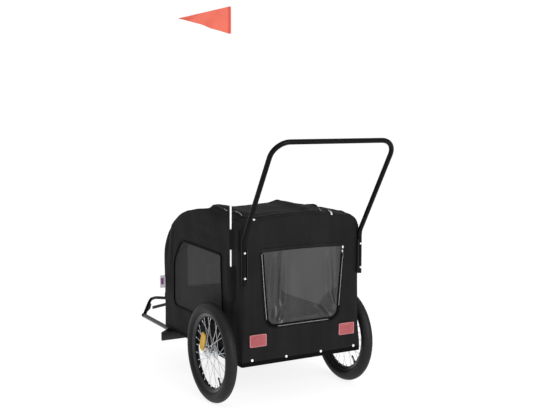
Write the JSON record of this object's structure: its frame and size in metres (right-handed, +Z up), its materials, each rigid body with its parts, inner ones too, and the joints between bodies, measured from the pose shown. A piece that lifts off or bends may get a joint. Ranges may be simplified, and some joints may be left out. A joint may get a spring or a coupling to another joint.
{
  "type": "pet bike trailer",
  "caption": "Towed pet trailer with a fabric cabin on a tube frame, spoked wheels, a swivel front wheel, push handle, tow bar and flag.",
  "frame": {"origin": "on the floor, under the middle of the trailer's box", "axes": "+X to the trailer's right, +Y in the towing direction, +Z up"},
  "size_m": [0.832, 1.53, 1.545],
  "materials": {
    "cover_fabric": "matt woven polyester",
    "mesh": "open black mesh",
    "window_film": "dark see-through mesh and film",
    "black_steel": "black powder coat",
    "grey_steel": "dark grey powder coat",
    "bright_steel": "zinc plated",
    "rim_metal": "dark anodised",
    "tyre_rubber": "black rubber",
    "amber_lens": "moulded reflector",
    "red_lens": "moulded reflector",
    "white_rod": "white glass fibre rod",
    "pennant_cloth": "bright orange-red nylon",
    "floor_board": "black board",
    "black_plastic": "moulded black"
  },
  "bodies": {
    "trailer": {"floor_frame": "black_steel", "floor_panel": "floor_board", "left_side_hoop": "black_steel", "right_side_hoop": "black_steel", "rear_roof_bar": "black_steel", "front_roof_bar": "black_steel", "left_wall": "cover_fabric", "right_wall": "cover_fabric", "rear_wall": "cover_fabric", "front_wall": "cover_fabric", "roof_cover": "cover_fabric", "left_window_screen": "mesh", "right_window_screen": "mesh", "push_handle": "black_steel", "handle_tabs": "black_steel", "flag_pole": "white_rod", "flag_pockets": "cover_fabric", "pennant": "pennant_cloth", "rear_reflectors": "red_lens", "front_beam": "grey_steel", "tow_bar": "grey_steel", "tow_arm": "black_steel", "left_axle": "bright_steel", "right_axle": "bright_steel", "front_wheel_arm": "black_steel"},
    "left_wheel": {"left_tyre": "tyre_rubber", "left_rim": "rim_metal", "left_hub": "bright_steel", "left_spokes": "bright_steel", "left_spoke_reflector": "amber_lens"},
    "right_wheel": {"right_tyre": "tyre_rubber", "right_rim": "rim_metal", "right_hub": "bright_steel", "right_spokes": "bright_steel", "right_spoke_reflector": "amber_lens"},
    "swivel_fork": {"front_fork": "bright_steel"},
    "front_wheel": {"front_tyre": "tyre_rubber", "front_wheel_hub": "black_plastic"},
    "rear_door": {"rear_door": "cover_fabric", "rear_door_window": "window_film"},
    "front_door": {"front_door": "cover_fabric", "front_door_screen": "mesh"},
    "hitch": {"hitch_coupler": "bright_steel", "hitch_lever": "black_steel"}
  },
  "joints": [
    {"name": "left_wheel_spin", "type": "hinge", "parent": "trailer", "child": "left_wheel", "pos_m": [-0.24798, -0.336, 0.2], "axis": [1, 0, 0], "continuous": true},
    {"name": "right_wheel_spin", "type": "hinge", "parent": "trailer", "child": "right_wheel", "pos_m": [0.38203, -0.336, 0.2], "axis": [1, 0, 0], "continuous": true},
    {"name": "front_swivel", "type": "hinge", "parent": "trailer", "child": "swivel_fork", "pos_m": [0.06703, 0.376, 0.199], "axis": [0, 0, 1], "continuous": true},
    {"name": "front_wheel_spin", "type": "hinge", "parent": "swivel_fork", "child": "front_wheel", "pos_m": [0.06703, 0.342, 0.08], "axis": [1, 0, 0], "continuous": true},
    {"name": "rear_door_hinge", "type": "hinge", "parent": "trailer", "child": "rear_door", "pos_m": [0.06703, -0.522, 0.622], "axis": [-1, 0, 0], "range_deg": [0, 150]},
    {"name": "front_door_hinge", "type": "hinge", "parent": "trailer", "child": "front_door", "pos_m": [0.06703, 0.256, 0.493], "axis": [1, 0, 0], "range_deg": [0, 150]},
    {"name": "hitch_yaw", "type": "hinge", "parent": "trailer", "child": "hitch", "pos_m": [0.01103, 0.706, 0.203], "axis": [0, 0, 1], "range_deg": [-60, 60]}
  ]
}
